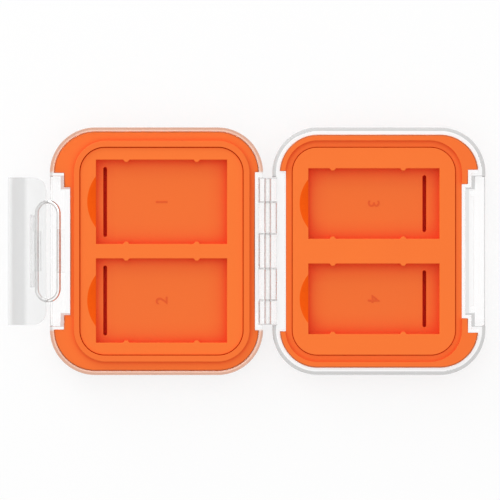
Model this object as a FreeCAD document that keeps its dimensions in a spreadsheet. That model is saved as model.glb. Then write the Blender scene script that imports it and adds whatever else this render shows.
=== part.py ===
import FreeCAD, Part
import os
import re
import Sketcher

# Memory card case: two clear shells on a pinned five-knuckle hinge, each with a soft seal frame and a
# card tray, held shut by a wire bail and a draw lever. Millimetres, lying open, +Z up.
# The origin is the middle of the base's flat underside, and the lid lies on the +X side of the hinge.

SIZES = [
    # Shells
    ("half_width", 62.0, "one half, hinge edge to latch edge"),
    ("half_length", 72.0, "one half along the hinge"),
    ("half_depth", 9.0, "underside to the parting plane"),
    ("corner_radius", 13.2, "outer corners seen from above"),
    ("bottom_round", 2.5, "round of the outer lower edge"),
    ("floor_thick", 1.3, "shell floor"),
    ("base_wall", 1.15, "base side wall"),
    ("lid_wall", 2.15, "lid side wall"),
    ("lid_bevel", 1.2, "round of the lid's outer rim"),
    ("rim_gap", 0.05, "each rim below the parting plane"),
    # Latch recess in both shells
    ("seat_width", 43.6, "outer step, where the lever lies"),
    ("seat_inset", 3.15, "outer step, depth from the latch edge"),
    ("seat_wall", 0.95, "wall behind and beside the outer step"),
    ("well_width", 35.2, "inner step, room for the bail"),
    ("well_inset", 4.4, "inner step, depth from the latch edge"),
    ("well_wall", 1.5, "wall behind the inner step"),
    ("recess_depth", 6.5, "height of the recess from the parting plane"),
    # Hinge
    ("hinge_gap", 2.7, "between the two shells when open"),
    ("knuckle_radius", 2.65, "hinge barrel"),
    ("knuckle_clear", 0.15, "barrel to the other shell"),
    ("end_knuckle", 7.1, "length of the outer knuckles"),
    ("side_knuckle", 9.2, "length of the second knuckles"),
    ("mid_knuckle", 10.1, "length of the middle knuckle"),
    ("knuckle_gap", 0.15, "between neighbouring knuckles"),
    ("hinge_wall_width", 46.0, "thickened wall behind the barrel"),
    ("base_hinge_wall", 2.3, "base wall behind the barrel, from the edge"),
    ("lid_hinge_wall", 3.6, "lid wall behind the barrel, from the edge"),
    ("pin_radius", 0.8, "hinge pin"),
    ("pin_clear", 0.05, "hinge pin in its bore"),
    ("pin_chamfer", 0.25, "hinge pin ends"),
    # Seal frames
    ("liner_gap", 0.05, "seal frame to its shell"),
    ("recess_gap", 1.0, "lid frame to the walls of the latch recess"),
    ("hinge_wall_gap", 0.35, "lid frame to the wall behind the barrel"),
    ("seal_line", 3.85, "where ridge and lip meet, from the edge"),
    ("latch_seal_line", 6.95, "the same line on the latch side"),
    ("seal_clear", 0.1, "between ridge and lip when shut"),
    ("seal_rise", 0.5, "ridge and lip above the parting plane"),
    ("seal_drop", 0.75, "flange and groove below the parting plane"),
    # Card trays
    ("tray_inset", 5.85, "tray outline from the edge"),
    ("latch_tray_inset", 8.8, "tray outline from the latch edge"),
    ("tray_radius", 7.2, "tray corners"),
    ("joint_gap", 0.15, "tray to its frame"),
    ("shelf_width", 0.8, "frame's shelf under the tray's rim"),
    ("tray_rim", 1.6, "thickness of the tray's rim"),
    ("platform_drop", 0.15, "tray top below the parting plane"),
    ("pocket_margin", 4.625, "tray top beyond a pocket's short walls"),
    ("wide_end", 3.55, "wide pocket, for a 24 mm card, to the tray's end"),
    ("narrow_end", 6.05, "narrow pocket, for a 20 mm card, to the tray's end"),
    ("wide_bar", 4.2, "between the wide pockets"),
    ("narrow_bar", 7.2, "between the narrow pockets"),
    ("wide_depth", 2.6, "wide pocket"),
    ("narrow_depth", 3.2, "narrow pocket"),
    ("nub_spacing", 20.5, "between the grip nubs of a wall"),
    ("nub_shift", 1.7, "narrow pocket's nubs, towards the hinge"),
    ("nub_width", 1.9, "grip nub along its wall"),
    ("nub_tip", 0.8, "grip nub at its tip"),
    ("nub_reach", 0.65, "grip nub out of its wall"),
    ("wide_slit_end", 2.1, "slit to the wide pocket's long walls"),
    ("narrow_slit_end", 2.0, "slit to the narrow pocket's long walls"),
    ("wide_slit_inset", 2.6, "slit from the pocket's latch-side wall"),
    ("narrow_slit_inset", 4.3, "slit from the pocket's latch-side wall"),
    ("slit_width", 1.0, "slit across"),
    ("slit_depth", 3.6, "slit below the pocket floor"),
    ("wide_moon_end", 4.75, "finger scoop to the wide pocket's long walls"),
    ("narrow_moon_end", 3.15, "finger scoop to the narrow pocket's long walls"),
    ("moon_reach", 2.55, "finger scoop out of the pocket"),
    ("moon_depth", 1.2, "finger scoop where it meets the pocket"),
    ("moon_past", 0.3, "finger scoop's cut past the pocket's wall"),
    ("moon_spread", 4.0, "finger scoop's turn past its chord, degrees"),
    ("core_skin", 1.5, "pocket floor over the hollow underside"),
    ("core_margin", 2.0, "hollow underside inside the pocket's walls"),
    # Latch
    ("wire_radius", 0.65, "bail wire"),
    ("wire_clear", 0.05, "bail wire in its clips"),
    ("bail_reach", 6.96, "bail, bar to bar"),
    ("bail_width", 30.1, "bail overall along the hinge"),
    ("bail_inset", 2.44, "bail's fixed bar from the latch edge"),
    ("bail_drop", 4.06, "bail's fixed bar below the parting plane"),
    ("clip_wall", 0.6, "clip above and below the wire"),
    ("clip_grip", 0.35, "clip past the wire's middle"),
    ("base_clip", 12.7, "length of the clip on the base"),
    ("lever_clip", 11.6, "length of the clip on the lever"),
    ("lever_width", 43.0, "lever along the hinge"),
    ("lever_thick", 1.3, "lever plate"),
    ("lever_lift", 0.75, "lever plate from the wire's middle"),
    ("lever_tail", 3.28, "lever past the bail on the case side"),
    ("tail_relief", 0.5, "lever tail thinned below, clear of the bail"),
    ("lever_flat", 3.73, "flat of the lever on the finger side"),
    ("lever_curl", 3.7, "outer radius of the finger curl"),
    ("lever_corner", 4.0, "corners of the lever's tail"),
    ("hook_width", 21.0, "hook lip along the hinge"),
    ("hook_start", 1.0, "hook lip from the wire's middle"),
    ("hook_thick", 0.8, "hook lip"),
    ("hook_reach", 1.76, "hook lip past the wire's middle"),
    ("table_gap", 0.04, "hook lip above the table when open"),
    ("lever_tilt", 15.0, "lever below level when open, degrees"),
    ("ledge_width", 32.0, "keeper ledge on the lid"),
    ("ledge_reach", 1.0, "keeper ledge out of its wall"),
    ("hook_clear", 0.05, "hook lip to the keeper ledge when shut"),
]
NAMES = {name for name, _, _ in SIZES}
SHEET = "Sizes"

# Expressions in the sheet's names that more than one sub-part uses
HINGE_X = "(half_width + hinge_gap) / 2"
EDGE = "hinge_gap / 2"
RIM_Z = "half_depth - rim_gap"
BARREL = "(2 * end_knuckle + 2 * side_knuckle + mid_knuckle)"
BAIL_X = "(bail_inset - half_width / 2)"
BAIL_Z = "(half_depth - bail_drop)"
PIVOT_Z = "((hook_start + hook_thick) * sin(lever_tilt) + hook_reach * cos(lever_tilt) + table_gap)"
PIVOT_X = f"({BAIL_X} - sqrt(bail_reach ^ 2 - ({BAIL_Z} - {PIVOT_Z}) ^ 2))"
SEAT_HALF = "(seat_width / 2 + seat_wall)"
WELL_HALF = "(well_width / 2 + seat_wall)"
POCKET_HALF = "((half_width - tray_inset - latch_tray_inset) / 2 - pocket_margin)"

doc = FreeCAD.newDocument("CardCase")
sheet = doc.addObject("Spreadsheet::Sheet", SHEET)
for row, (name, value, note) in enumerate(SIZES, 1):
    sheet.set(f"A{row}", note)
    sheet.set(f"B{row}", str(value))
    sheet.setAlias(f"B{row}", name)
doc.recompute()


def bound(expression):
    """The expression with each of the sheet's names written as the document needs it."""
    def full(word):
        return f"{SHEET}.{word[0]}" if word[0] in NAMES else word[0]
    return re.sub(r"[a-z_]+", full, expression)


def number(expression):
    """The expression's value at the present sizes."""
    return float(sheet.evalExpression(expression))


def from_hinge(side, distance):
    """X of a point that lies a distance from the hinge axis on one side's half."""
    sign = "+" if side == "lid" else "-"
    return f"({HINGE_X} {sign} ({distance}))"


def hinge_inset(side, inset):
    """X of a line set in from a half's hinge edge."""
    return from_hinge(side, f"{EDGE} + {inset}")


def latch_inset(side, inset):
    """X of a line set in from a half's latch edge."""
    return from_hinge(side, f"{EDGE} + half_width - ({inset})")


def end_inset(inset):
    """Y of a line set in from a half's end."""
    return f"(half_length / 2 - ({inset}))"


def new_body(label):
    """Empty body whose label names its file."""
    body = doc.addObject("PartDesign::Body", label)
    body.Label = label
    return body


def sketch_on(body, plane, lift="0"):
    """Sketch on one of the body's own origin planes, lifted along that plane's normal."""
    sketch = body.newObject("Sketcher::SketchObject", "Sketch")
    support = next(part for part in body.Origin.OriginFeatures if part.Role == plane)
    sketch.AttachmentSupport = [(support, "")]
    sketch.MapMode = "FlatFace"
    if lift != "0":
        sketch.setExpression("AttachmentOffset.Base.z", bound(lift))
    return sketch


def constrain(sketch, rules):
    """Adds constraints, each (kind, where, expression or None), and binds those with an expression."""
    for kind, where, expression in rules:
        if expression is None:
            sketch.addConstraint(Sketcher.Constraint(kind, *where))
            continue
        index = sketch.addConstraint(Sketcher.Constraint(kind, *where, number(expression)))
        sketch.setExpression(f"Constraints[{index}]", bound(expression))


def outline(sketch, points):
    """Closed outline. A point (x, y) starts a line and (x, y, centre x, centre y) starts an arc."""
    places = [FreeCAD.Vector(number(point[0]), number(point[1]), 0) for point in points]
    ends = []
    rules = []
    for index, point in enumerate(points):
        start = places[index]
        finish = places[(index + 1) % len(points)]
        head, tail = 1, 2
        if len(point) == 2:
            edge = sketch.addGeometry(Part.LineSegment(start, finish), False)
        else:
            centre = FreeCAD.Vector(number(point[2]), number(point[3]), 0)
            spans = [start - centre, finish - centre]
            if spans[0].cross(spans[1]).z < 0:
                spans.reverse()
                head, tail = 2, 1
            circle_line = Part.Circle(centre, FreeCAD.Vector(0, 0, 1), spans[0].Length)
            turns = [circle_line.parameter(centre + span) for span in spans]
            edge = sketch.addGeometry(Part.ArcOfCircle(circle_line, *turns), False)
            chord = finish - start
            if abs(chord.x) > abs(chord.y):
                rules.append(("DistanceY", (-1, 1, edge, 3), point[3]))
            else:
                rules.append(("DistanceX", (-1, 1, edge, 3), point[2]))
        ends.append((edge, head, tail))
        rules.append(("DistanceX", (-1, 1, edge, head), point[0]))
        rules.append(("DistanceY", (-1, 1, edge, head), point[1]))
    for (edge, _, tail), (following, head, _) in zip(ends, ends[1:] + ends[:1]):
        rules.append(("Coincident", (edge, tail, following, head), None))
    constrain(sketch, rules)


def rectangle(sketch, x_one, x_two, y_one, y_two):
    """Plain rectangle between two X and two Y values."""
    outline(sketch, [(x_one, y_one), (x_two, y_one), (x_two, y_two), (x_one, y_two)])


def rounded(sketch, side, hinge, latch, end, radius):
    """Rounded rectangle of one half, set in from its hinge edge, latch edge and ends."""
    near, far = hinge_inset(side, hinge), latch_inset(side, latch)
    near_arc = hinge_inset(side, f"{hinge} + {radius}")
    far_arc = latch_inset(side, f"{latch} + {radius}")
    top, arc = end_inset(end), end_inset(f"{end} + {radius}")
    outline(sketch, [
        (near_arc, f"-{top}"), (far_arc, f"-{top}", far_arc, f"-{arc}"),
        (far, f"-{arc}"), (far, arc, far_arc, arc),
        (far_arc, top), (near_arc, top, near_arc, arc),
        (near, arc), (near, f"-{arc}", near_arc, f"-{arc}"),
    ])


def circle(sketch, x, y, radius):
    """Circle about a point."""
    place = FreeCAD.Vector(number(x), number(y), 0)
    edge = sketch.addGeometry(Part.Circle(place, FreeCAD.Vector(0, 0, 1), number(radius)), False)
    rules = [("Radius", (edge,), radius)]
    for kind, value in (("DistanceX", x), ("DistanceY", y)):
        if number(value):
            rules.append((kind, (-1, 1, edge, 3), value))
        else:
            rules.append(("PointOnObject", (edge, 3, -2 if kind == "DistanceX" else -1), None))
    constrain(sketch, rules)


def axis_line(sketch, x, low, high):
    """Upright construction line that a groove turns about."""
    ends = [FreeCAD.Vector(number(x), number(y), 0) for y in (low, high)]
    edge = sketch.addGeometry(Part.LineSegment(*ends), True)
    constrain(sketch, [
        ("DistanceX", (-1, 1, edge, 1), x), ("DistanceY", (-1, 1, edge, 1), low),
        ("DistanceX", (-1, 1, edge, 2), x), ("DistanceY", (-1, 1, edge, 2), high),
    ])


def pad(body, sketch, length, symmetric=False):
    """Adds the sketch's area, upwards or to both sides of its plane."""
    feature = body.newObject("PartDesign::Pad", "Pad")
    feature.Profile = sketch
    feature.SideType = "Symmetric" if symmetric else "One side"
    feature.setExpression("Length", bound(length))
    doc.recompute()
    return feature


def pocket(body, sketch, length, symmetric=False, upward=False):
    """Cuts the sketch's area, downwards, upwards or to both sides, and makes sure that it cuts."""
    before = body.Shape.Volume
    feature = body.newObject("PartDesign::Pocket", "Pocket")
    feature.Profile = sketch
    feature.SideType = "Symmetric" if symmetric else "One side"
    feature.Reversed = upward
    feature.setExpression("Length", bound(length))
    doc.recompute()
    if not body.Shape.Volume < before:
        raise ValueError(f"a pocket of {body.Label} cuts nothing")
    return feature


def groove(body, sketch, angle):
    """Cuts the sketch's area turned about its construction line, to both sides of its plane."""
    before = body.Shape.Volume
    feature = body.newObject("PartDesign::Groove", "Groove")
    feature.Profile = sketch
    feature.ReferenceAxis = (sketch, ["Axis0"])
    feature.Midplane = True
    feature.setExpression("Angle", bound(angle))
    doc.recompute()
    if not body.Shape.Volume < before:
        raise ValueError(f"a groove of {body.Label} cuts nothing")
    return feature


def dress(body, kind, size_name, size, picked):
    """Fillet or chamfer on the edges of the body's last feature that picked() chooses."""
    tip = body.Tip
    names = [f"Edge{index}" for index, edge in enumerate(tip.Shape.Edges, 1) if picked(edge)]
    feature = body.newObject(f"PartDesign::{kind}", kind)
    feature.Base = (tip, names)
    feature.setExpression(size_name, bound(size))
    doc.recompute()
    return feature


def level_with(z_expression):
    """Picker of the edges that lie flat at one height."""
    height = number(z_expression)
    return lambda edge: all(abs(vertex.Z - height) < 1e-6 for vertex in edge.Vertexes)


def knuckle_rows(side):
    """Middle and length of each of one side's hinge knuckles: the lid has the odd rows."""
    beside = "(mid_knuckle + side_knuckle) / 2"
    outermost = "(mid_knuckle / 2 + side_knuckle + end_knuckle / 2)"
    if side == "base":
        return [(sign + beside, "side_knuckle") for sign in "+-"]
    return [("0", "mid_knuckle")] + [(sign + outermost, "end_knuckle") for sign in "+-"]


def make_shell(side):
    """Clear shell of one half: tray-shaped body, stepped latch recess, hinge wall, knuckles and bore."""
    wall = f"{side}_wall"
    body = new_body(f"{side}_shell")

    sketch = sketch_on(body, "XY_Plane")
    rounded(sketch, side, "0", "0", "0", "corner_radius")
    pad(body, sketch, RIM_Z)
    dress(body, "Fillet", "Radius", "bottom_round", level_with("0"))
    if side == "lid":
        dress(body, "Fillet", "Radius", "lid_bevel", level_with(RIM_Z))

    sketch = sketch_on(body, "XY_Plane", RIM_Z)
    rounded(sketch, side, wall, wall, wall, f"(corner_radius - {wall})")
    pocket(body, sketch, f"{RIM_Z} - floor_thick")

    # Walls that stand in the cavity behind the latch recess and behind the hinge barrel
    blocks = [
        (latch_inset(side, f"{wall} / 2"), latch_inset(side, "seat_inset + seat_wall"), SEAT_HALF),
        (latch_inset(side, "seat_inset"), latch_inset(side, "well_inset + well_wall"), WELL_HALF),
        (hinge_inset(side, f"{wall} / 2"), hinge_inset(side, f"{side}_hinge_wall"),
         "hinge_wall_width / 2"),
    ]
    for outer, inner, half in blocks:
        sketch = sketch_on(body, "XY_Plane", "floor_thick / 2")
        rectangle(sketch, outer, inner, f"-{half}", half)
        pad(body, sketch, f"{RIM_Z} - floor_thick / 2")

    # Two-step recess for the lever and, deeper, for the bail
    for inset, width in (("seat_inset", "seat_width"), ("well_inset", "well_width")):
        sketch = sketch_on(body, "XY_Plane", "half_depth")
        rectangle(sketch, latch_inset(side, "-corner_radius"), latch_inset(side, inset),
                  f"-{width} / 2", f"{width} / 2")
        pocket(body, sketch, "recess_depth")

    # Room for the other half's knuckles, then this half's own knuckles and the pin's bore
    sketch = sketch_on(body, "XZ_Plane")
    circle(sketch, HINGE_X, "half_depth", "knuckle_radius + knuckle_clear")
    pocket(body, sketch, f"{BARREL} + 2 * knuckle_gap", symmetric=True)
    for middle, length in knuckle_rows(side):
        lift = "0" if middle == "0" else f"-({middle})"
        sketch = sketch_on(body, "XZ_Plane", lift)
        circle(sketch, HINGE_X, "half_depth", "knuckle_radius")
        pad(body, sketch, f"{length} - knuckle_gap", symmetric=True)
        sketch = sketch_on(body, "XZ_Plane", lift)
        rectangle(sketch, HINGE_X, hinge_inset(side, f"{side}_hinge_wall"),
                  "half_depth - knuckle_radius", RIM_Z)
        pad(body, sketch, f"{length} - knuckle_gap", symmetric=True)
    sketch = sketch_on(body, "XZ_Plane")
    circle(sketch, HINGE_X, "half_depth", "pin_radius + pin_clear")
    pocket(body, sketch, f"{BARREL} + 2 * knuckle_gap", symmetric=True)
    return body


def make_base_shell():
    """Base shell with the open clip that the bail's fixed bar snaps into from outside."""
    body = make_shell("base")
    sketch = sketch_on(body, "XZ_Plane")
    reach = "(wire_radius + wire_clear + clip_wall)"
    rectangle(sketch, f"{BAIL_X} - clip_grip", latch_inset("base", "well_inset + well_wall / 2"),
              f"{BAIL_Z} - {reach}", f"{BAIL_Z} + {reach}")
    pad(body, sketch, "base_clip", symmetric=True)
    sketch = sketch_on(body, "XZ_Plane")
    circle(sketch, BAIL_X, BAIL_Z, "wire_radius + wire_clear")
    pocket(body, sketch, "base_clip", symmetric=True)
    return body


def make_lid_shell():
    """Lid shell with the keeper ledge that the lever's hook pulls on, just past the parting plane."""
    body = make_shell("lid")
    ledge = "(bail_reach - bail_drop - hook_start - hook_thick - hook_clear)"
    sketch = sketch_on(body, "XZ_Plane")
    rectangle(sketch, latch_inset("lid", "well_inset - ledge_reach"),
              latch_inset("lid", "well_inset + well_wall / 2"), f"half_depth - {ledge}", RIM_Z)
    pad(body, sketch, "ledge_width", symmetric=True)
    return body


def cut_round_walls(body, side, recess, hinge):
    """Cuts a seal frame back from the shell's latch-recess walls and hinge wall."""
    cuts = [
        (latch_inset(side, "0"), latch_inset(side, f"seat_inset + seat_wall + {recess}"),
         f"({SEAT_HALF} + {recess})"),
        (latch_inset(side, "0"), latch_inset(side, f"well_inset + well_wall + {recess}"),
         f"({WELL_HALF} + {recess})"),
        (hinge_inset(side, "0"), hinge_inset(side, f"{side}_hinge_wall + {hinge}"),
         f"(hinge_wall_width / 2 + {hinge})"),
    ]
    for outer, inner, half in cuts:
        sketch = sketch_on(body, "XY_Plane", "half_depth + seal_rise")
        rectangle(sketch, outer, inner, f"-{half}", half)
        pocket(body, sketch, "half_depth + seal_rise")


def tray_outline(sketch, side, offset):
    """Tray outline, set in further by an offset."""
    inset = f"(tray_inset + {offset})"
    rounded(sketch, side, inset, f"(latch_tray_inset + {offset})", inset, f"(tray_radius - ({offset}))")


def cut_tray_opening(body, side):
    """Opening of a seal frame that its card tray drops into, with the shelf that carries the tray's rim."""
    rise = "platform_drop + seal_rise"
    for offset, depth in (
        ("shelf_width - joint_gap", "half_depth + seal_rise"),
        ("-joint_gap", f"tray_rim + {rise}"),
    ):
        sketch = sketch_on(body, "XY_Plane", "half_depth + seal_rise")
        tray_outline(sketch, side, offset)
        pocket(body, sketch, depth)


def make_base_liner():
    """Base seal frame: a low flange inside the rim and a ridge that stands past the parting plane."""
    body = new_body("base_liner")
    edge = "(base_wall + liner_gap)"
    sketch = sketch_on(body, "XY_Plane", "floor_thick")
    rounded(sketch, "base", edge, edge, edge, f"(corner_radius - {edge})")
    pad(body, sketch, "half_depth - seal_drop - floor_thick")
    ridge = "(seal_line + seal_clear / 2)"
    latch_ridge = "(latch_seal_line + seal_clear / 2)"
    sketch = sketch_on(body, "XY_Plane", "floor_thick")
    rounded(sketch, "base", ridge, latch_ridge, ridge, f"(corner_radius - {ridge})")
    pad(body, sketch, "half_depth + seal_rise - floor_thick")
    cut_tray_opening(body, "base")
    cut_round_walls(body, "base", "liner_gap", "liner_gap")
    return body


def make_lid_liner():
    """Lid seal frame: a lip that stands past the parting plane and the groove that takes the ridge."""
    body = new_body("lid_liner")
    edge = "(lid_wall + liner_gap)"
    sketch = sketch_on(body, "XY_Plane", "floor_thick")
    rounded(sketch, "lid", edge, edge, edge, f"(corner_radius - {edge})")
    pad(body, sketch, "half_depth + seal_rise - floor_thick")
    lip = "(seal_line - seal_clear / 2)"
    latch_lip = "(latch_seal_line - seal_clear / 2)"
    sketch = sketch_on(body, "XY_Plane", "half_depth + seal_rise")
    rounded(sketch, "lid", lip, latch_lip, lip, f"(corner_radius - {lip})")
    pocket(body, sketch, "seal_rise + seal_drop")
    cut_tray_opening(body, "lid")
    cut_round_walls(body, "lid", "recess_gap", "hinge_wall_gap")
    return body


def tray_middle(side):
    """X of the middle of a tray, which sits nearer the hinge than the latch."""
    return from_hinge(side, f"{EDGE} + (half_width + tray_inset - latch_tray_inset) / 2")


def pocket_reach(kind):
    """Half the width of a pocket, from the tray's length, its end margin and the bar between pockets."""
    return f"((half_length / 2 - tray_inset - {kind}_end - {kind}_bar / 2) / 2)"


def pocket_outline(sketch, side, half_y, nub_shift, y_middle):
    """Card pocket: a rectangle with two tapered grip nubs on each long wall."""
    middle = tray_middle(side)
    hingeward = "-" if side == "lid" else "+"
    points = []
    for wall in (-1, 1):
        y_wall = f"{y_middle} {'+' if wall > 0 else '-'} {half_y}"
        y_tip = f"{y_wall} {'-' if wall > 0 else '+'} nub_reach"
        # The lower wall runs towards +X and the upper wall back again
        ahead = "-" if wall > 0 else "+"
        behind = "+" if wall > 0 else "-"
        points.append((f"{middle} {behind} {POCKET_HALF}", y_wall))
        for nub in (behind, ahead):
            x_nub = f"{middle} {hingeward} {nub_shift} {nub} nub_spacing / 2"
            points.append((f"{x_nub} {behind} nub_width / 2", y_wall))
            points.append((f"{x_nub} {behind} nub_tip / 2", y_tip))
            points.append((f"{x_nub} {ahead} nub_tip / 2", y_tip))
            points.append((f"{x_nub} {ahead} nub_width / 2", y_wall))
        points.append((f"{middle} {ahead} {POCKET_HALF}", y_wall))
    outline(sketch, points)


def make_tray(side, kind, nub_shift, moon_sign):
    """Soft card tray of one half: two pockets with nubs, slit and finger scoop, hollow underneath."""
    body = new_body(f"{side}_tray")
    top = "(half_depth - platform_drop)"
    floor = f"({top} - {kind}_depth)"
    middle = tray_middle(side)
    latchward = "-" if side == "base" else "+"
    hingeward = "+" if side == "base" else "-"
    slit_x = f"({middle} {latchward} ({POCKET_HALF} - {kind}_slit_inset))"
    reach = pocket_reach(kind)
    rows = [f"({sign}({kind}_bar / 2 + {reach}))" for sign in "+-"]

    sketch = sketch_on(body, "XY_Plane", "floor_thick")
    tray_outline(sketch, side, "shelf_width")
    pad(body, sketch, f"{top} - floor_thick")
    sketch = sketch_on(body, "XY_Plane", f"{top} - tray_rim")
    tray_outline(sketch, side, "0")
    pad(body, sketch, "tray_rim")

    sketch = sketch_on(body, "XY_Plane", top)
    for row in rows:
        pocket_outline(sketch, side, reach, nub_shift, row)
    pocket(body, sketch, f"{kind}_depth")

    # Finger scoop: a cone, level with the top at an arc outside the short wall, deeper at the pocket
    inward = "+" if moon_sign == "-" else "-"
    half = f"({reach} - {kind}_moon_end)"
    radius = f"(({half} ^ 2 + moon_reach ^ 2) / (2 * moon_reach))"
    chord_x = f"({middle} {moon_sign} {POCKET_HALF})"
    outer_x = f"({chord_x} {moon_sign} moon_reach)"
    inner_x = f"({chord_x} {inward} moon_past)"
    inner_z = f"{top} - moon_depth * (1 + moon_past / moon_reach)"
    axis_x = f"({outer_x} {inward} {radius})"
    for row in rows:
        sketch = sketch_on(body, "XZ_Plane", f"-{row}")
        outline(sketch, [(outer_x, top), (inner_x, top), (inner_x, inner_z)])
        axis_line(sketch, axis_x, floor, top)
        groove(body, sketch, f"2 * asin({half} / {radius}) + moon_spread * 1 deg")

    # Slit with round ends in the pocket floor
    sketch = sketch_on(body, "XY_Plane", floor)
    for row in rows:
        half = f"({reach} - {kind}_slit_end - slit_width / 2)"
        left, right = f"{slit_x} - slit_width / 2", f"{slit_x} + slit_width / 2"
        low, high = f"{row} - {half}", f"{row} + {half}"
        outline(sketch, [
            (right, low), (right, high, slit_x, high),
            (left, high), (left, low, slit_x, low),
        ])
    pocket(body, sketch, "slit_depth")

    # Hollow underside, so that the moulded walls stay even
    sketch = sketch_on(body, "XY_Plane", "floor_thick")
    for row in rows:
        half = f"({reach} - core_margin)"
        rectangle(sketch, f"{middle} {hingeward} ({POCKET_HALF} - core_margin)",
                  f"{slit_x} {hingeward} core_margin", f"{row} - {half}", f"{row} + {half}")
    pocket(body, sketch, f"{floor} - core_skin - floor_thick", upward=True)
    return body


def make_pin():
    """Hinge pin, as long as the barrel, with chamfered ends."""
    body = new_body("hinge_pin")
    sketch = sketch_on(body, "XZ_Plane")
    circle(sketch, HINGE_X, "half_depth", "pin_radius")
    pad(body, sketch, f"{BARREL} - knuckle_gap", symmetric=True)
    dress(body, "Chamfer", "Size", "pin_chamfer", lambda edge: edge.isClosed())
    return body


def hang(body, x, z, angle):
    """Sets a body's own origin on a latch axis and turns it about that axis."""
    body.Placement = FreeCAD.Placement(FreeCAD.Vector(), FreeCAD.Rotation(FreeCAD.Vector(0, 1, 0), -1))
    body.setExpression("Placement.Base.x", bound(x))
    body.setExpression("Placement.Base.z", bound(z))
    body.setExpression("Placement.Rotation.Angle", bound(angle))
    doc.recompute()


def make_bail():
    """Wire bail: a closed loop with straight bars and half-round ends, hanging from the base's clip."""
    body = new_body("latch_bail")
    bend = "bail_reach / 2"
    straight = "(bail_width / 2 - wire_radius - bail_reach / 2)"
    spine = sketch_on(body, "XY_Plane")
    outline(spine, [
        ("0 * bail_reach", f"-{straight}"), ("0 * bail_reach", straight, f"-{bend}", straight),
        ("-bail_reach", straight), ("-bail_reach", f"-{straight}", f"-{bend}", f"-{straight}"),
    ])
    profile = sketch_on(body, "XZ_Plane", straight)
    circle(profile, "0", "0", "wire_radius")
    wire = body.newObject("PartDesign::AdditivePipe", "Wire")
    wire.Profile = profile
    wire.Spine = spine
    hang(body, BAIL_X, BAIL_Z, f"-asin(({BAIL_Z} - {PIVOT_Z}) / bail_reach)")
    return body


def make_lever():
    """Draw lever: a plate over the bail's free bar, curled up at the finger end, with clip and hook lip.

    It is drawn about the wire's middle, finger end towards -X, then set on the bail at its open tilt.
    """
    body = new_body("latch_lever")
    upper = "(lever_lift + lever_thick)"
    rise = "(lever_lift + lever_curl)"
    finger = "(0 - lever_flat - lever_curl)"
    sketch = sketch_on(body, "XZ_Plane")
    outline(sketch, [
        ("-lever_flat", "lever_lift"), ("wire_radius", "lever_lift"),
        ("lever_tail", "lever_lift + tail_relief"), ("lever_tail", upper),
        ("-lever_flat", upper, "-lever_flat", rise), (f"{finger} + lever_thick", rise),
        (finger, rise, "-lever_flat", rise),
    ])
    pad(body, sketch, "lever_width", symmetric=True)
    tail = number("lever_tail")

    def at_tail_corner(edge):
        at_tail = all(abs(vertex.X - tail) < 1e-6 for vertex in edge.Vertexes)
        return at_tail and edge.BoundBox.YLength < 1e-3

    dress(body, "Fillet", "Radius", "lever_corner", at_tail_corner)

    sketch = sketch_on(body, "XZ_Plane")
    rectangle(sketch, "0 - hook_start - hook_thick", "-hook_start",
              "-hook_reach", "lever_lift + lever_thick / 2")
    pad(body, sketch, "hook_width", symmetric=True)

    sketch = sketch_on(body, "XZ_Plane")
    half = "(wire_radius + wire_clear + clip_wall)"
    rectangle(sketch, f"-{half}", half, "-clip_grip", "lever_lift + lever_thick / 2")
    pad(body, sketch, "lever_clip", symmetric=True)
    sketch = sketch_on(body, "XZ_Plane")
    circle(sketch, "0", "0", "wire_radius + wire_clear")
    pocket(body, sketch, "lever_clip", symmetric=True)
    hang(body, PIVOT_X, PIVOT_Z, "-lever_tilt")
    return body


SUB_PARTS = [
    make_base_shell(),
    make_lid_shell(),
    make_base_liner(),
    make_lid_liner(),
    make_tray("base", "wide", "0", "-"),
    make_tray("lid", "narrow", "nub_shift", "-"),
    make_pin(),
    make_bail(),
    make_lever(),
]
doc.recompute()

for thing in doc.Objects:
    if {"Invalid", "Error"} & set(thing.State):
        raise ValueError(f"{thing.Label} failed: {thing.State}")
for sub_part in SUB_PARTS:
    if sub_part.Shape.isNull() or not sub_part.Shape.isValid() or len(sub_part.Shape.Solids) != 1:
        raise ValueError(f"{sub_part.Label} is not one valid solid")

os.makedirs("parts", exist_ok=True)
for sub_part in SUB_PARTS:
    sub_part.Shape.exportStep(f"parts/{sub_part.Label}.step")
    print(sub_part.Label, round(sub_part.Shape.Volume, 2), sub_part.Shape.BoundBox)
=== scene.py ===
import math

import bmesh
import bpy
import numpy as np
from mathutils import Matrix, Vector


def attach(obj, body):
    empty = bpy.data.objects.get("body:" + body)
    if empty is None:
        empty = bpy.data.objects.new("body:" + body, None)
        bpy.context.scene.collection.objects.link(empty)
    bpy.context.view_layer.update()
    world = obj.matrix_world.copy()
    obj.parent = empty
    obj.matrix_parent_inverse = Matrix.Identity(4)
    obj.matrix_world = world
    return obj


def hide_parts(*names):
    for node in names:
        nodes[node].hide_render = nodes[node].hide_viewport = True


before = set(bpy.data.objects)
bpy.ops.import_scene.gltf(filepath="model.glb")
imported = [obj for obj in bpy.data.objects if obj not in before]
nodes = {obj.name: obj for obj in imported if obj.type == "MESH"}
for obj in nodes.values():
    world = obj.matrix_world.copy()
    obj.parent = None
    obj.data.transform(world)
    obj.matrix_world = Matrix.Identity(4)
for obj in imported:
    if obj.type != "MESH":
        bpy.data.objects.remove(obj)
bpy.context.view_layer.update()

# Open memory card case: clear moulded shells, soft orange seal frames and card trays, steel wire latch.

MM = 0.001
scene = bpy.context.scene
scene.view_settings.view_transform = "Standard"

# Places on the case, in millimetres

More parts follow.
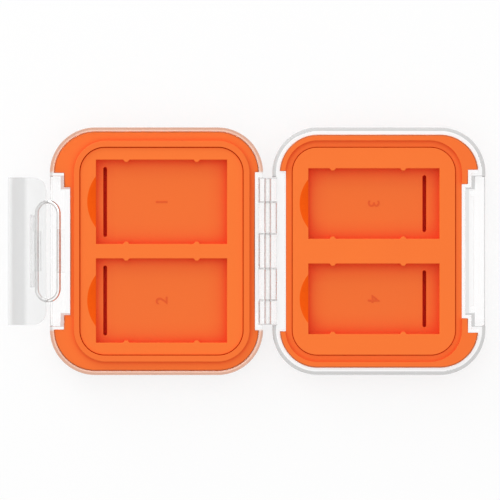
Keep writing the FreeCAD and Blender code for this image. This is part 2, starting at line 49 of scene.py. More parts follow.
HINGE_X = 32.35                           # hinge axis, midway between the two halves
PARTING_Z = 9.0                           # parting plane, which the hinge axis lies in
KNUCKLE_RING = (2.3, 2.8)                 # either side of a knuckle's radius
KNUCKLE_SPAN = 21.45                      # just past half the row of knuckles
RIM_Z = 8.95                              # flat rim of a shell
ROUND_Z = 7.7                             # lowest place of the rounded outer rim
SEAT_WALL = (59.7, 20.2)                  # rim behind the recess's outer step, from the hinge and from Y zero
WELL_WALL = (59.1, 17.8)                  # rim behind its inner step, from the hinge, and half its length
RECESS_LIP = (61.5, 22.0)                 # lower edge under the recess, from the hinge and from Y zero
HINGE_LIP = (4.0, 23.0)                   # the same under the hinge
LIP_Z = 2.45                              # top of that lower edge
RECESS_END = (22.6, 23.4)                 # where the rim past the recess and the hinge takes up the frame's colour, as painted show-through and shade
FRAME_TOP = {"base": 8.25, "lid": 9.5}    # flat top of a seal frame at its outer edge
SHELF_Z = 7.6                             # just above the shelf that carries a tray's rim
TRAY_X = {"base": 1.475, "lid": 63.225}   # middle of a tray
POCKET_Y = {"base": 14.35, "lid": 13.85}  # middle of a pocket, on either side of Y zero
POCKET_Z = {"base": 6.25, "lid": 5.65}    # floor of a pocket
SLIT_X = {"base": -14.98, "lid": 77.97}   # slit near one end of a pocket
PAST_POCKETS = (21.0, 27.5)               # from a tray's middle, between its pockets and its outer walls
PAST_OPENING = (24.2, 30.7)               # from a tray's middle, just outside the opening of its frame
LEVER_END_X = -42.6                       # just inside the lever's free end


# Node helpers

def add(tree, kind, **settings):
    """New node; a setting names an attribute, or an input if the node has no attribute of that name."""
    node = tree.nodes.new(kind)
    for name, value in settings.items():
        if hasattr(node, name):
            setattr(node, name, value)
        else:
            node.inputs[name.replace("_", " ")].default_value = value
    return node


def join(tree, source, output, target, socket):
    """Link from one node's output to another node's input."""
    tree.links.new(source.outputs[output], target.inputs[socket])


def new_group(name, inputs, outputs):
    """Empty shader node group with its sockets, and its two ends."""
    tree = bpy.data.node_groups.new(name, "ShaderNodeTree")
    for label, kind, value in inputs:
        socket = tree.interface.new_socket(label, in_out="INPUT", socket_type=kind)
        socket.default_value = value
    for label, kind in outputs:
        tree.interface.new_socket(label, in_out="OUTPUT", socket_type=kind)
    return tree, tree.nodes.new("NodeGroupInput"), tree.nodes.new("NodeGroupOutput")


def new_material(name):
    """Material with only its Principled shader and its output."""
    material = bpy.data.materials.new(name)
    material.use_nodes = True
    tree = material.node_tree
    shader = next(node for node in tree.nodes if node.type == "BSDF_PRINCIPLED")
    output = next(node for node in tree.nodes if node.type == "OUTPUT_MATERIAL")
    return material, tree, shader, output


def blend(tree, share, first, second):
    """Colour that goes from the first to the second by a share; each is a colour or another node's output."""
    mix = add(tree, "ShaderNodeMix", data_type="RGBA")
    sockets = {socket.identifier: socket for socket in mix.inputs}
    tree.links.new(share, sockets["Factor_Float"])
    for name, value in (("A_Color", first), ("B_Color", second)):
        if isinstance(value, tuple):
            sockets[name].default_value = (*value, 1)
        else:
            tree.links.new(value, sockets[name])
    return next(socket for socket in mix.outputs if socket.identifier == "Result_Color")


def ramp(tree, source, steps):
    """Colour ramp over a value, from positions and colours."""
    node = add(tree, "ShaderNodeValToRGB")
    elements = node.color_ramp.elements
    elements[0].position, elements[1].position = steps[0][0], steps[-1][0]
    elements[0].color, elements[1].color = (*steps[0][1], 1), (*steps[-1][1], 1)
    for position, colour in steps[1:-1]:
        elements.new(position).color = (*colour, 1)
    tree.links.new(source, node.inputs["Fac"])
    return node.outputs["Color"]


def vary_roughness(tree, shader, source, output, low, high):
    """Roughness from low to high as another node's output goes from 0 to 1."""
    spread = add(tree, "ShaderNodeMapRange", To_Min=low, To_Max=high)
    join(tree, source, output, spread, "Value")
    join(tree, spread, "Result", shader, "Roughness")


def add_bump(tree, shader, source, output, strength, depth):
    """Bump with another node's output as its height, over a depth in metres."""
    bump = add(tree, "ShaderNodeBump", Strength=strength, Distance=depth)
    join(tree, source, output, bump, "Height")
    join(tree, bump, "Normal", shader, "Normal")


# Effects that several finishes share

def mould_grain_group():
    """Fine spark-eroded mould texture over slow clouds: a height, and a mask that is mostly near the middle."""
    tree, start, end = new_group("mould_grain", [
        ("Vector", "NodeSocketVector", (0, 0, 0)),
        ("Grain Scale", "NodeSocketFloat", 4000.0),
        ("Cloud Scale", "NodeSocketFloat", 60.0),
    ], [("Height", "NodeSocketFloat"), ("Mask", "NodeSocketFloat")])
    grain = add(tree, "ShaderNodeTexNoise", Detail=3.0, Roughness=0.6)
    cloud = add(tree, "ShaderNodeTexNoise", Detail=2.0, Roughness=0.5)
    mixed = add(tree, "ShaderNodeMath", operation="MULTIPLY_ADD")
    grain_share = mixed.inputs[1]
    grain_share.default_value = 0.35
    for noise, scale in ((grain, "Grain Scale"), (cloud, "Cloud Scale")):
        join(tree, start, "Vector", noise, "Vector")
        join(tree, start, scale, noise, "Scale")
    join(tree, grain, "Fac", mixed, 0)
    join(tree, cloud, "Fac", mixed, 2)
    join(tree, grain, "Fac", end, "Height")
    join(tree, mixed, "Value", end, "Mask")
    return tree


def rub_marks_group():
    """Sparse hairline rub marks: a noise stretched along two slanting directions, kept only at its crests."""
    tree, start, end = new_group("rub_marks", [
        ("Vector", "NodeSocketVector", (0, 0, 0)),
        ("Scale", "NodeSocketFloat", 900.0),
    ], [("Mask", "NodeSocketFloat")])
    both = add(tree, "ShaderNodeMath", operation="MAXIMUM")
    for index, turn in enumerate((0.5, -0.9)):
        mapping = add(tree, "ShaderNodeMapping", Rotation=(0, 0, turn), Scale=(1.0, 0.02, 0.3))
        noise = add(tree, "ShaderNodeTexNoise", Detail=1.0)
        crest = add(tree, "ShaderNodeMapRange", From_Min=0.66, From_Max=0.74)
        join(tree, start, "Vector", mapping, "Vector")
        join(tree, mapping, "Vector", noise, "Vector")
        join(tree, start, "Scale", noise, "Scale")
        join(tree, noise, "Fac", crest, "Value")
        join(tree, crest, "Result", both, index)
    join(tree, both, "Value", end, "Mask")
    return tree


def recess_group():
    """How open the surface is to the sky over a few millimetres, for painted shade in corners: 0 deep in a corner, 1
    on an open face.
    """
    tree, start, end = new_group("recess", [("Reach", "NodeSocketFloat", 0.006)], [("Open", "NodeSocketFloat")])
    hollow = add(tree, "ShaderNodeAmbientOcclusion", samples=8, only_local=True)
    level = add(tree, "ShaderNodeMapRange", From_Min=0.55, From_Max=0.94)
    join(tree, start, "Reach", hollow, "Distance")
    join(tree, hollow, "AO", level, "Value")
    join(tree, level, "Result", end, "Open")
    return tree


MOULD_GRAIN = mould_grain_group()
RUB_MARKS = rub_marks_group()
RECESS = recess_group()


def place_group(tree, group, **values):
    """A shared effect with its own values, on the piece's Object coordinates if it reads a place."""
    node = tree.nodes.new("ShaderNodeGroup")
    node.node_tree = group
    for name, value in values.items():
        node.inputs[name.replace("_", " ")].default_value = value
    if "Vector" in node.inputs:
        join(tree, add(tree, "ShaderNodeTexCoord"), "Object", node, "Vector")
    return node


# Finishes

PLASTIC_IOR = 1.3
COARSE = 0.02 * MM
FINE = 0.01 * MM


def soft_moulding(name, dark, light, grain_depth, reach=6.0, painted_corner_shade=(0.97, 0.56, 0.6), gloss=0.25):
    """Soft matte moulding: two close shades in slow clouds, fine grain in roughness and bump.

    Corners get painted shade, a darker colour of their own, over a reach in millimetres.
    """
    material, tree, shader, _ = new_material(name)
    grain = place_group(tree, MOULD_GRAIN, Grain_Scale=5200.0, Cloud_Scale=55.0)
    recess = place_group(tree, RECESS, Reach=reach * MM)
    clouds = blend(tree, grain.outputs["Mask"], dark, light)
    # painted shade: corners and recesses darken towards this colour by how little sky they see
    corner = tuple(level * share for level, share in zip(dark, painted_corner_shade))
    tree.links.new(blend(tree, recess.outputs["Open"], corner, clouds), shader.inputs["Base Color"])
    vary_roughness(tree, shader, grain, "Mask", 0.46, 0.66)
    add_bump(tree, shader, grain, "Height", 0.25, grain_depth)
    shader.inputs["Specular IOR Level"].default_value = gloss
    return material


def clear_moulding(name, tint, clearness, bend=PLASTIC_IOR, tints=None):
    """Clear polished plastic with a little haze: hairline rub marks in its roughness, and a clear shadow.

    The bend is its index of refraction. Tints are painted shade and show-through colours along an axis, in place of
    the tint.
    """
    material, tree, shader, output = new_material(name)
    shader.inputs["Base Color"].default_value = (*tint, 1)
    shader.inputs["Transmission Weight"].default_value = clearness
    shader.inputs["IOR"].default_value = bend
    if tints:
        tint_along(tree, shader, *tints)
    marks = place_group(tree, RUB_MARKS, Scale=700.0)
    vary_roughness(tree, shader, marks, "Mask", 0.005, 0.08)
    path = add(tree, "ShaderNodeLightPath")
    window = add(tree, "ShaderNodeBsdfTransparent", Color=(0.93, 0.94, 0.94, 1))
    mix = add(tree, "ShaderNodeMixShader")
    join(tree, path, "Is Shadow Ray", mix, "Fac")
    join(tree, shader, "BSDF", mix, 1)
    join(tree, window, "BSDF", mix, 2)
    join(tree, mix, "Shader", output, "Surface")
    return material


def tint_along(tree, shader, axis, mirrored, stops):
    """Base colour by place along an axis in millimetres, the same on both sides of zero if mirrored."""
    split = add(tree, "ShaderNodeSeparateXYZ")
    join(tree, add(tree, "ShaderNodeTexCoord"), "Object", split, "Vector")
    place = split.outputs[axis]
    if mirrored:
        size = add(tree, "ShaderNodeMath", operation="ABSOLUTE")
        tree.links.new(place, size.inputs[0])
        place = size.outputs["Value"]
    first, last = stops[0][0], stops[-1][0]
    share = add(tree, "ShaderNodeMapRange", From_Min=first * MM, From_Max=last * MM)
    tree.links.new(place, share.inputs["Value"])
    steps = [((spot - first) / (last - first), colour) for spot, colour in stops]
    tree.links.new(ramp(tree, share.outputs["Result"], steps), shader.inputs["Base Color"])


def drawn_steel(name, shade):
    """Polished wire drawn along Y: fine lines along its length in roughness and bump."""
    material, tree, shader, _ = new_material(name)
    shader.inputs["Base Color"].default_value = (*shade, 1)
    shader.inputs["Metallic"].default_value = 1.0
    mapping = add(tree, "ShaderNodeMapping", Scale=(1.0, 0.02, 1.0))
    noise = add(tree, "ShaderNodeTexNoise", Scale=6000.0, Detail=2.0)
    join(tree, add(tree, "ShaderNodeTexCoord"), "Object", mapping, "Vector")
    join(tree, mapping, "Vector", noise, "Vector")
    vary_roughness(tree, shader, noise, "Fac", 0.1, 0.26)
    add_bump(tree, shader, noise, "Fac", 0.12, FINE)
    return material


def grey(level):
    """Colour with the same level in each channel."""
    return (level, level, level)


WHITE = grey(0.98)

# the frame's corners get a milder painted shade over a shorter reach
frame_orange = soft_moulding(
    "frame_orange", (0.93, 0.160, 0.021), (0.97, 0.178, 0.025), COARSE, reach=1.8, painted_corner_shade=(0.98, 0.86, 0.86))
# darker orange painted on the rounded outer edge of a frame: painted shade of the gap beside the rim
frame_edge_shade = soft_moulding("frame_edge_shade", (0.62, 0.130, 0.026), (0.66, 0.140, 0.030), FINE)
tray_orange = soft_moulding("tray_orange", (0.95, 0.175, 0.022), (0.985, 0.192, 0.027), COARSE)
# pocket floors painted darker than the tray's top: painted shade under the pocket walls
pocket_shade_orange = soft_moulding("pocket_shade_orange", (0.895, 0.154, 0.0225), (0.92, 0.165, 0.025), FINE)
scoop_orange = soft_moulding("scoop_orange", (0.93, 0.105, 0.006), (0.96, 0.113, 0.007), FINE, gloss=0.0)
# darker, redder orange painted on the walls and shelf of the gaps between frame and tray: painted shade in the gaps
gap_shade_orange = soft_moulding("gap_shade_orange", (0.97, 0.075, 0.002), (0.98, 0.079, 0.003), FINE, gloss=0.0)
# dark red painted inside the slits: painted shade deep in the slit
slit_shade_orange = soft_moulding("slit_shade_orange", (0.93, 0.055, 0.004), (0.95, 0.060, 0.005), FINE)
numeral_orange = soft_moulding("numeral_orange", (0.78, 0.098, 0.014), (0.81, 0.108, 0.016), FINE)

clear_shell = clear_moulding("clear_shell", WHITE, 0.96)
clear_knuckle = clear_moulding("clear_knuckle", WHITE, 0.85, 1.22)
clear_lip = clear_moulding("clear_lip", WHITE, 0.96, 1.04)
# grey painted on the knuckles' rounded edges and ends: painted shade for the lines between knuckles
knuckle_end_shade = clear_moulding("knuckle_end_shade", grey(0.5), 0.3, 1.12)
# peach painted on the flat rim past the recess and hinge: painted show-through of the orange frame
base_rim_painted_orange = clear_moulding("base_rim_painted_orange", WHITE, 0.28, tints=(
    "Y", True, [(RECESS_END[0], WHITE), (RECESS_END[1], (0.98, 0.56, 0.41))]))
# pinkish grey painted on the rounded rim past the recess and hinge: painted shade and show-through of the orange
# frame
base_round_shade = clear_moulding("base_round_shade", WHITE, 0.3, tints=(
    "Y", True, [(RECESS_END[0], WHITE), (RECESS_END[1], (0.80, 0.62, 0.56))]))
# pinkish grey painted on the rim behind the recess's outer step: painted shade
base_seat_rim_shade = clear_moulding("base_seat_rim_shade", (0.74, 0.55, 0.52), 0.3)
clear_edge = clear_moulding("clear_edge", WHITE, 0.25)
# grey painted on the lid's rounded rim: painted shade
lid_round_shade = clear_moulding("lid_round_shade", (0.61, 0.605, 0.60), 0.4)
# grey painted on the rim behind the recess's outer step: painted shade
lid_seat_rim_shade = clear_moulding("lid_seat_rim_shade", grey(0.6), 0.3)
# grey painted along the front edge of the rim behind the recess's inner step: painted shade
lid_well_rim_shade = clear_moulding("lid_well_rim_shade", WHITE, 0.3, tints=("X", False, [(90.8, grey(0.78)), (91.0, WHITE)]))
# greys painted along the lever, darkest over its curled end: painted shade
clear_lever = clear_moulding("clear_lever", WHITE, 0.85, 1.15, tints=("X", False, [
    (-43.3, grey(0.90)), (-42.2, grey(0.74)), (-39.0, grey(0.71)), (-37.5, grey(0.86)), (-34.0, grey(0.84))]))
# grey painted on the lever's narrow free end: painted shade, like the lever's
lever_end = clear_moulding("lever_end", grey(0.88), 0.85, 1.02)

pin_steel = drawn_steel("pin_steel", (0.99, 0.98, 0.97))
wire_steel = drawn_steel("wire_steel", (0.95, 0.94, 0.93))


# Pieces

MERGE = 2e-6               # points closer than this are one point
FLAT = math.radians(0.6)   # faces that meet at a smaller angle are one flat face
SHARP = math.radians(35)   # edges that turn by more are eased


def rows(items, what):
    """Whole array of a vector value of a mesh's points or faces, one row each."""
    values = np.empty(len(items) * 3, dtype=np.float32)
    items.foreach_get(what, values)
    return values.reshape(-1, 3)


def join_flat_faces(work, parting):
    """Joins flat faces, but keeps cuts along some Y planes in millimetres, so that no face has a hole."""
    for y in parting:
        geometry = [*work.verts, *work.edges, *work.faces]
        cut = bmesh.ops.bisect_plane(work, geom=geometry, dist=1e-7, plane_co=(0, y * MM, 0), plane_no=(0, 1, 0))
        for item in cut["geom_cut"]:
            if isinstance(item, bmesh.types.BMEdge):
                item.seam = True
    bmesh.ops.dissolve_limit(work, angle_limit=FLAT, verts=work.verts, edges=work.edges, delimit={"SEAM"})


def has_room(line, shortest):
    """Whether an edge, and each edge that meets it, is longer than a limit, so that a round fits there."""
    return min(other.calc_length() for point in line.verts for other in point.link_edges) > shortest


def round_wide(work, width, rule, shortest):
    """Rounds the sharp outer edges that a rule picks.

    The rule gets an edge's middle in millimetres and the normals of its two faces, the one that looks up more first.
    """
    rounded = []
    for line in work.edges:
        if line.is_manifold and line.calc_face_angle_signed(0) > SHARP and has_room(line, shortest):
            top, wall = sorted((face.normal for face in line.link_faces), key=lambda normal: -normal.z)
            if rule((line.verts[0].co + line.verts[1].co) / (2 * MM), top, wall):
                rounded.append(line)
    bmesh.ops.bevel(
        work, geom=rounded, offset=width, offset_type="OFFSET", segments=3, profile=0.5, affect="EDGES",
        clamp_overlap=shortest == 0, material=-1)


def finish_faces(mesh, finishes):
    """Sets the finishes: the first covers the piece, and each later one the faces that its rule picks.

    A rule gets the middles of all faces in millimetres and their outward normals, and gives a mask.
    """
    places, facing = rows(mesh.polygons, "center") / MM, rows(mesh.polygons, "normal")
    number = np.zeros(len(places), dtype=np.int32)
    mesh.materials.clear()
    for index, (material, rule) in enumerate(finishes):
        mesh.materials.append(material)
        if rule:
            number[rule(places, facing)] = index
    mesh.polygons.foreach_set("material_index", number)


def eased(node, body, width, parting, finishes, room=0.0, shortest=0.0, wide=None):
    """Copy of a solid with merged points, flat faces joined and its sharp edges eased to a small round.

    Parting is the Y planes in millimetres along which flat faces stay cut. Sharp edges beside one that is shorter
    than a limit stay as they are, because the round wouldn't fit there. Room lifts the flat underside that far off
    the shell's floor, so that the two share no plane. Wide is a width and a rule, for edges that get a larger round
    first.
    """
    mesh = nodes[node].data.copy()
    points = rows(mesh.vertices, "co")
    underside = points[:, 2] < points[:, 2].min() + 1e-6
    points[underside, 2] += room
    mesh.vertices.foreach_set("co", points.ravel())
    work = bmesh.new()
    work.from_mesh(mesh)
    bmesh.ops.remove_doubles(work, verts=work.verts, dist=MERGE)
    join_flat_faces(work, parting)
    if wide:
        round_wide(work, *wide, shortest)
    weight = work.edges.layers.float.new("bevel_weight_edge")
    for line in work.edges:
        if line.calc_face_angle(0) > SHARP and has_room(line, shortest):
            line[weight] = 1.0
    work.to_mesh(mesh)
    work.free()
    finish_faces(mesh, finishes)
    mesh.shade_smooth()
    mesh.set_sharp_from_angle(angle=SHARP)
    piece = bpy.data.objects.new(f"{node}_eased", mesh)
    scene.collection.objects.link(piece)
    bevel = piece.modifiers.new("eased edges", "BEVEL")
    bevel.width = width
    bevel.segments = 2
    bevel.limit_method = "WEIGHT"
    bevel.use_clamp_overlap = shortest == 0
    weld = piece.modifiers.new("joined points", "WELD")
    weld.merge_threshold = MERGE
    flat = piece.modifiers.new("flat faces", "WEIGHTED_NORMAL")
    flat.mode = "FACE_AREA"
    flat.weight = 80
    flat.keep_sharp = True
    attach(piece, body)
    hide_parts(node)


# Rules that pick faces by their middles in millimetres and their outward normals

LEVEL = 0.9      # a face that looks straight along an axis has more than this of its normal along it
UPRIGHT = 0.3    # a wall has less than this of its normal along Z


def looks_up(facing):
    """Faces that look up."""
    return facing[:, 2] > LEVEL


def is_wall(facing):
    """Walls."""
    return np.abs(facing[:, 2]) < UPRIGHT


def is_slope(facing, least):
    """Faces that look up at a slope, by the least Z of their normals."""
    return (facing[:, 2] > least) & (facing[:, 2] < 0.99)


def on_barrel(places, facing):
    """Faces of the hinge knuckles, by their distance from the hinge axis."""
    x, y, z = places.T
    return (np.hypot(x - HINGE_X, z - PARTING_Z) < KNUCKLE_RING[1]) & (np.abs(y) < KNUCKLE_SPAN)


def on_knuckle_round(places, facing):
    """Rounded edges and flat ends of the hinge knuckles."""
    return on_barrel(places, facing) & (np.abs(facing[:, 1]) > 0.15)


def on_rim(places, facing):
    """Flat faces of the rim, just under the parting plane."""
    return (np.abs(places[:, 2] - RIM_Z) < 0.02) & looks_up(facing) & ~on_barrel(places, facing)


def on_rim_round(places, facing):
    """Faces of the rounded outer rim: sloping ones within the top millimetre or so."""
    z = places[:, 2]
    return is_slope(facing, 0.05) & (z > ROUND_Z) & (z < RIM_Z) & ~on_barrel(places, facing)


def on_seat_rim(places, facing):
    """Rim of the wall behind the outer step of the latch recess."""
    x, y, _ = places.T
    behind = np.abs(np.abs(x - HINGE_X) - SEAT_WALL[0]) < 0.6
    return on_rim(places, facing) & behind & (np.abs(np.abs(y) - SEAT_WALL[1]) < 2.4)


def on_well_rim(places, facing):
    """Rim of the wall behind the inner step of the latch recess."""
    x, y, _ = places.T
    behind = np.abs(np.abs(x - HINGE_X) - WELL_WALL[0]) < 0.3
    return on_rim(places, facing) & behind & (np.abs(y) < WELL_WALL[1])


def on_lip(places, facing):
    """Steep part of the rounded lower edge under the latch recess and under the hinge."""
    x, y, z = places.T
    reach, side = np.abs(x - HINGE_X), np.abs(y)
    under_recess = (reach > RECESS_LIP[0]) & (side < RECESS_LIP[1])
    under_hinge = (reach < HINGE_LIP[0]) & (side < HINGE_LIP[1])
    return (under_recess | under_hinge) & (z < LIP_Z) & (np.abs(facing[:, 0]) > 0.35)


def on_lever_end(places, facing):
    """Narrow faces at the free end of the lever."""
    return (places[:, 0] < LEVER_END_X) & (facing[:, 0] < -0.2)


def on_frame_round(half):
    """Rule for the rounded outer edge of a seal frame, within a third of a millimetre of its flat top."""
    top = FRAME_TOP[half]
    return lambda places, facing: is_slope(facing, 0.1) & (places[:, 2] < top) & (places[:, 2] > top - 0.33)


def on_frame_side(half):
    """Rule for the shelf of a seal frame's opening and its walls, which look towards the middle of the tray."""
    def rule(places, facing):
        x, y, z = places[:, 0] - TRAY_X[half], places[:, 1], places[:, 2]
        inward = facing[:, 0] * x + facing[:, 1] * y < 0
        shelf = looks_up(facing) & (z < SHELF_Z)
        inside = (np.abs(x) < PAST_OPENING[0]) & (np.abs(y) < PAST_OPENING[1])
        return inside & (shelf | is_wall(facing) & inward)
    return rule


def on_tray_side(half):
    """Rule for the outer walls of a tray, outside its pockets."""
    return lambda places, facing: is_wall(facing) & (
        (np.abs(places[:, 0] - TRAY_X[half]) > PAST_POCKETS[0]) | (np.abs(places[:, 1]) > PAST_POCKETS[1]))


def on_floor(half):
    """Rule for the floors of the pockets."""
    return lambda places, facing: (np.abs(places[:, 2] - POCKET_Z[half]) < 0.05) & looks_up(facing)


def on_scoop(places, facing):
    """Faces of the finger scoops: the only gentle slopes of a tray."""
    return is_slope(facing, 0.6)


def in_slit(half):
    """Rule for the faces inside the slits, below the pocket floor."""
    return lambda places, facing: (
        (np.abs(places[:, 0] - SLIT_X[half]) < 0.6) & (places[:, 2] < POCKET_Z[half] - 0.3) & (facing[:, 2] > -0.5))


# Rules that pick edges by their middle in millimetres and the normals of their two faces

def outer_edge(half):
    """Rule for the outer edge of a seal frame's flat top, whose wall looks away from the middle of the tray."""
    def rule(place, top, wall):
        outward = wall.x * (place.x - TRAY_X[half]) + wall.y * place.y > 0
        return abs(place.z - FRAME_TOP[half]) < 0.01 and outward
    return rule


def knuckle_edge(place, top, wall):
    """Edges round the flat ends of the hinge knuckles, where one face looks along the hinge."""
    radius = math.hypot(place.x - HINGE_X, place.z - PARTING_Z)
    on_ring = KNUCKLE_RING[0] < radius < KNUCKLE_RING[1] and abs(place.y) < KNUCKLE_SPAN
    return on_ring and (abs(top.y) > LEVEL) != (abs(wall.y) > LEVEL)


ROOM = 0.04 * MM             # under frames and trays
FRAME_EASE = 0.16 * MM
FRAME_ROUND = 0.32 * MM
TRAY_EASE = 0.14 * MM
SHELL_EASE = 0.1 * MM
SHELL_SHORTEST = 0.2 * MM    # shell edges beside shorter ones stay sharp
SHELL_PARTING = [0, 18, -18, 22, -22]
KNUCKLE_ROUND = 0.14 * MM
LEVER_EASE = 0.14 * MM

for half in ("base", "lid"):
    eased(f"{half}_liner", half, FRAME_EASE, [0], [
        (frame_orange, None), (frame_edge_shade, on_frame_round(half)), (gap_shade_orange, on_frame_side(half))],
        ROOM, wide=(FRAME_ROUND, outer_edge(half)))
for half in ("base", "lid"):
    eased(f"{half}_tray", half, TRAY_EASE, [POCKET_Y[half], -POCKET_Y[half]], [
        (tray_orange, None), (gap_shade_orange, on_tray_side(half)), (pocket_shade_orange, on_floor(half)),
        (scoop_orange, on_scoop), (slit_shade_orange, in_slit(half))], ROOM)
plain_shell = [
    (clear_shell, None), (clear_knuckle, on_barrel), (knuckle_end_shade, on_knuckle_round), (clear_lip, on_lip)]
rims = {
    "base": [(base_rim_painted_orange, on_rim), (base_round_shade, on_rim_round), (base_seat_rim_shade, on_seat_rim)],
    "lid": [
        (clear_edge, on_rim), (lid_round_shade, on_rim_round), (lid_seat_rim_shade, on_seat_rim), (lid_well_rim_shade, on_well_rim)],
}
for half in ("base", "lid"):
    eased(f"{half}_shell", half, SHELL_EASE, SHELL_PARTING, plain_shell + rims[half],
          shortest=SHELL_SHORTEST, wide=(KNUCKLE_ROUND, knuckle_edge))
eased("latch_lever", "lever", LEVER_EASE, [], [(clear_lever, None), (lever_end, on_lever_end)])

for name, finish in (("hinge_pin", pin_steel), ("latch_bail", wire_steel)):
    for material_slot in nodes[name].material_slots:
        material_slot.material = finish

NUMERAL_TALL = 3.4       # millimetres
NUMERAL_RAISED = 0.12    # above the pocket floor
NUMERAL_ROOT = 0.05      # below it


def raised_numeral(figure, body, place, turn):
    """Plain numeral raised off a pocket floor.

    The outline is centred on its own box, scaled to its height, turned by the angle and moved to its place in
    millimetres. Its thickness is scaled by itself, from the root to the raised face.
    """
    outline = bpy.data.curves.new("numeral_outline", "FONT")
    outline.body = figure
    outline.extrude = 0.03
    outline.bevel_depth = 0.008
    holder = bpy.data.objects.new("numeral_outline", outline)
    mesh = bpy.data.meshes.new_from_object(holder)
    bpy.data.objects.remove(holder)
    points = rows(mesh.vertices, "co")
    low, high = points.min(0), points.max(0)
    flat = (points - (low + high) / 2) / (high - low)[1] * NUMERAL_TALL
    lift = (points[:, 2] - low[2]) / (high - low)[2] * (NUMERAL_RAISED + NUMERAL_ROOT) - NUMERAL_ROOT
    across, along = math.cos(turn), math.sin(turn)
    moved = np.column_stack([
        place[0] + across * flat[:, 0] - along * flat[:, 1],
        place[1] + along * flat[:, 0] + across * flat[:, 1],
        place[2] + lift,
    ]) * MM
    mesh.vertices.foreach_set("co", moved.ravel())
    work = bmesh.new()
    work.from_mesh(mesh)
    bmesh.ops.remove_doubles(work, verts=work.verts, dist=1e-6)
    bmesh.ops.beautify_fill(work, faces=work.faces, edges=work.edges)
    work.to_mesh(mesh)
    work.free()
    mesh.shade_flat()
    mesh.materials.clear()
    mesh.materials.append(numeral_orange)
    mesh.update()
    piece = bpy.data.objects.new(f"numeral_{figure}", mesh)
    scene.collection.objects.link(piece)
    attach(piece, body)


for half, figures, turn in (("base", "12", math.pi / 2), ("lid", "34", -math.pi / 2)):
    for figure, side in zip(figures, (1, -1)):
        raised_numeral(figure, half, (TRAY_X[half], side * POCKET_Y[half], POCKET_Z[half]), turn)


# Stage, light and camera

FLOOR_HALF = 6.0
FLOOR_Z = -0.0002
FLOOR_TO_EYE = 0.75        # share of the floor's own white that the camera sees; the rest shows the shadow
FLOOR_IN_PLASTIC = 0.95    # the same, seen in gloss and through plastic
FLOOR_WHITE = 1.04


def studio_floor():
    """Pale floor that shows near white to the eye and in clear plastic, keeps shadows, and is open from below."""
    material, tree, shader, output = new_material("studio_floor")
    shader.inputs["Base Color"].default_value = (0.86, 0.86, 0.86, 1)
    shader.inputs["Roughness"].default_value = 0.9
    path = add(tree, "ShaderNodeLightPath")
    mirrored = add(tree, "ShaderNodeMath", operation="MAXIMUM")
    join(tree, path, "Is Glossy Ray", mirrored, 0)
    join(tree, path, "Is Transmission Ray", mirrored, 1)
    share = add(tree, "ShaderNodeMath", operation="MAXIMUM")
    for index, (source, ray, part) in enumerate((
            (path, "Is Camera Ray", FLOOR_TO_EYE), (mirrored, "Value", FLOOR_IN_PLASTIC))):
        seen = add(tree, "ShaderNodeMath", operation="MULTIPLY")
        seen.inputs[1].default_value = part
        join(tree, source, ray, seen, 0)
        join(tree, seen, "Value", share, index)
    glow = add(tree, "ShaderNodeEmission", Color=(1, 1, 1, 1), Strength=FLOOR_WHITE)
    pale = add(tree, "ShaderNodeMixShader")
    join(tree, share, "Value", pale, "Fac")
    join(tree, shader, "BSDF", pale, 1)
    join(tree, glow, "Emission", pale, 2)
    side = add(tree, "ShaderNodeNewGeometry")
    through = add(tree, "ShaderNodeBsdfTransparent")
    open_below = add(tree, "ShaderNodeMixShader")
    join(tree, side, "Backfacing", open_below, "Fac")
    join(tree, pale, "Shader", open_below, 1)
    join(tree, through, "BSDF", open_below, 2)
    join(tree, open_below, "Shader", output, "Surface")
    mesh = bpy.data.meshes.new("studio_floor")
    corners = np.array([[-1, -1], [1, -1], [1, 1], [-1, 1]]) * FLOOR_HALF
    points = np.column_stack([corners, np.full(4, FLOOR_Z)])
    mesh.from_pydata(points.tolist(), [], [(0, 1, 2, 3)])
    mesh.materials.append(material)
    floor = bpy.data.objects.new("studio_floor", mesh)
    scene.collection.objects.link(floor)


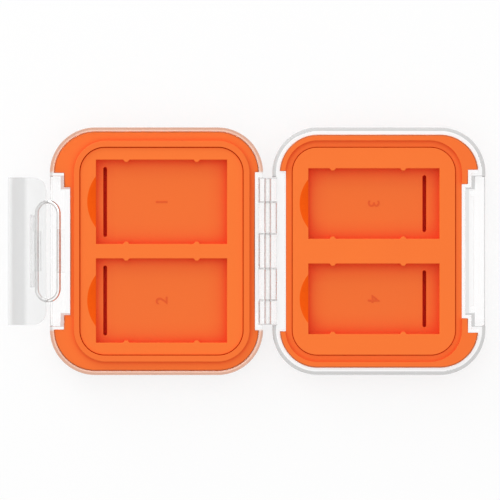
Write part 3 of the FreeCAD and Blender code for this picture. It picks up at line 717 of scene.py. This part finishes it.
def sky():
    """Even dome for the light; white behind clear plastic, and white over a dark band in the gloss of steel."""
    world = bpy.data.worlds.new("studio_sky")
    world.use_nodes = True
    tree = world.node_tree
    background = next(node for node in tree.nodes if node.type == "BACKGROUND")
    split = add(tree, "ShaderNodeSeparateXYZ")
    join(tree, add(tree, "ShaderNodeTexCoord"), "Generated", split, "Vector")
    height = split.outputs["Z"]
    dome = ramp(tree, height, [(0.0, grey(0.5)), (0.5, grey(0.80)), (1.0, grey(0.90))])
    backdrop = ramp(tree, height, [(0.0, grey(0.8)), (0.4, grey(1)), (1.0, grey(1))])
    studio = ramp(tree, height, [(0.0, grey(0.42)), (0.35, grey(0.42)), (0.62, grey(1)), (1.0, grey(1))])
    path = add(tree, "ShaderNodeLightPath")
    eye = add(tree, "ShaderNodeMath", operation="MAXIMUM")
    join(tree, path, "Is Camera Ray", eye, 0)
    join(tree, path, "Is Transmission Ray", eye, 1)
    seen = blend(tree, eye.outputs["Value"], dome, backdrop)
    tree.links.new(blend(tree, path.outputs["Is Glossy Ray"], seen, studio), background.inputs["Color"])
    background.inputs["Strength"].default_value = 1.0
    scene.world = world


def lamp(name, place, aim, size, power):
    """Square soft lamp that faces a point."""
    data = bpy.data.lights.new(name, "AREA")
    data.size = size
    data.energy = power
    item = bpy.data.objects.new(name, data)
    scene.collection.objects.link(item)
    item.location = place
    item.rotation_euler = (Vector(aim) - Vector(place)).to_track_quat("-Z", "Y").to_euler()


CASE_MIDDLE = (0.027, 0, 0)

studio_floor()
sky()
lamp("key", (-0.12, 0.6, 1.15), CASE_MIDDLE, 0.9, 2.2)
lamp("low", (-0.5, 0.85, 0.27), CASE_MIDDLE, 0.6, 3.0)

FRAME_WIDTH = 145.35 * MM    # across the picture, in the parting plane
AIM = (27.2 * MM, 0.35 * MM)
HEIGHT = 2.0
SENSOR = 36.0
camera = bpy.data.cameras.new("camera")
camera.sensor_width = SENSOR
camera.lens = SENSOR * (HEIGHT - PARTING_Z * MM) / FRAME_WIDTH
camera.clip_end = 20.0
viewer = bpy.data.objects.new("camera", camera)
viewer.location = (*AIM, HEIGHT)
scene.collection.objects.link(viewer)
scene.camera = viewer
